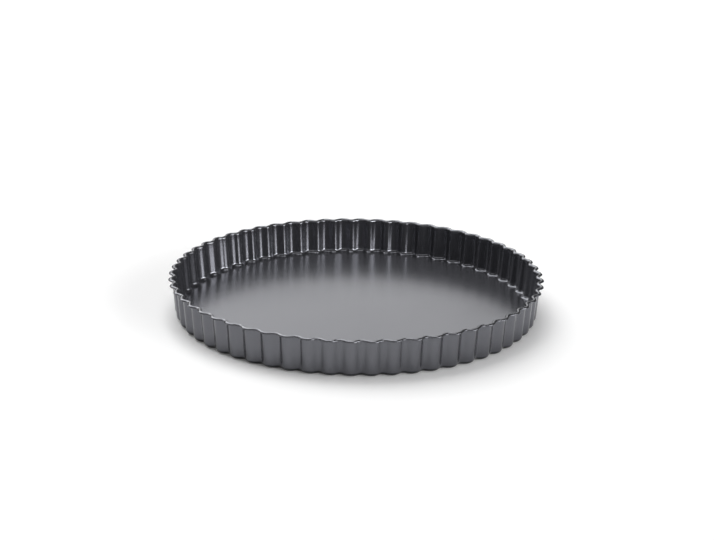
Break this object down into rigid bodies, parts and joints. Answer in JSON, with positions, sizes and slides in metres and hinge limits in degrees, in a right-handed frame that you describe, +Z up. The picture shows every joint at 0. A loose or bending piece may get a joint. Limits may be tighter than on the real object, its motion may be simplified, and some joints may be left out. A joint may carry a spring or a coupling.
{
  "type": "fluted tart pan",
  "caption": "Round fluted tart pan: a dark non-stick ring with a low wavy wall and a flat loose base that rests on its lip and lifts out.",
  "frame": {"origin": "on the table under the centre of the pan", "axes": "+Z up along the pan's axis; +X passes through a flute crest and +Y through the ridge between two crests, and the picture was taken from the -Y side"},
  "size_m": [0.28, 0.2796, 0.028],
  "materials": {
    "ring_coating": "satin dark grey non-stick coating on steel sheet",
    "base_coating": "satin dark grey non-stick coating on steel sheet"
  },
  "bodies": {
    "ring": {"fluted_ring": "ring_coating"},
    "base": {"loose_base": "base_coating"}
  },
  "joints": [
    {"name": "base_lift", "type": "slide", "parent": "ring", "child": "base", "axis": [0, 0, 1], "range_m": [0, 0.06]}
  ]
}
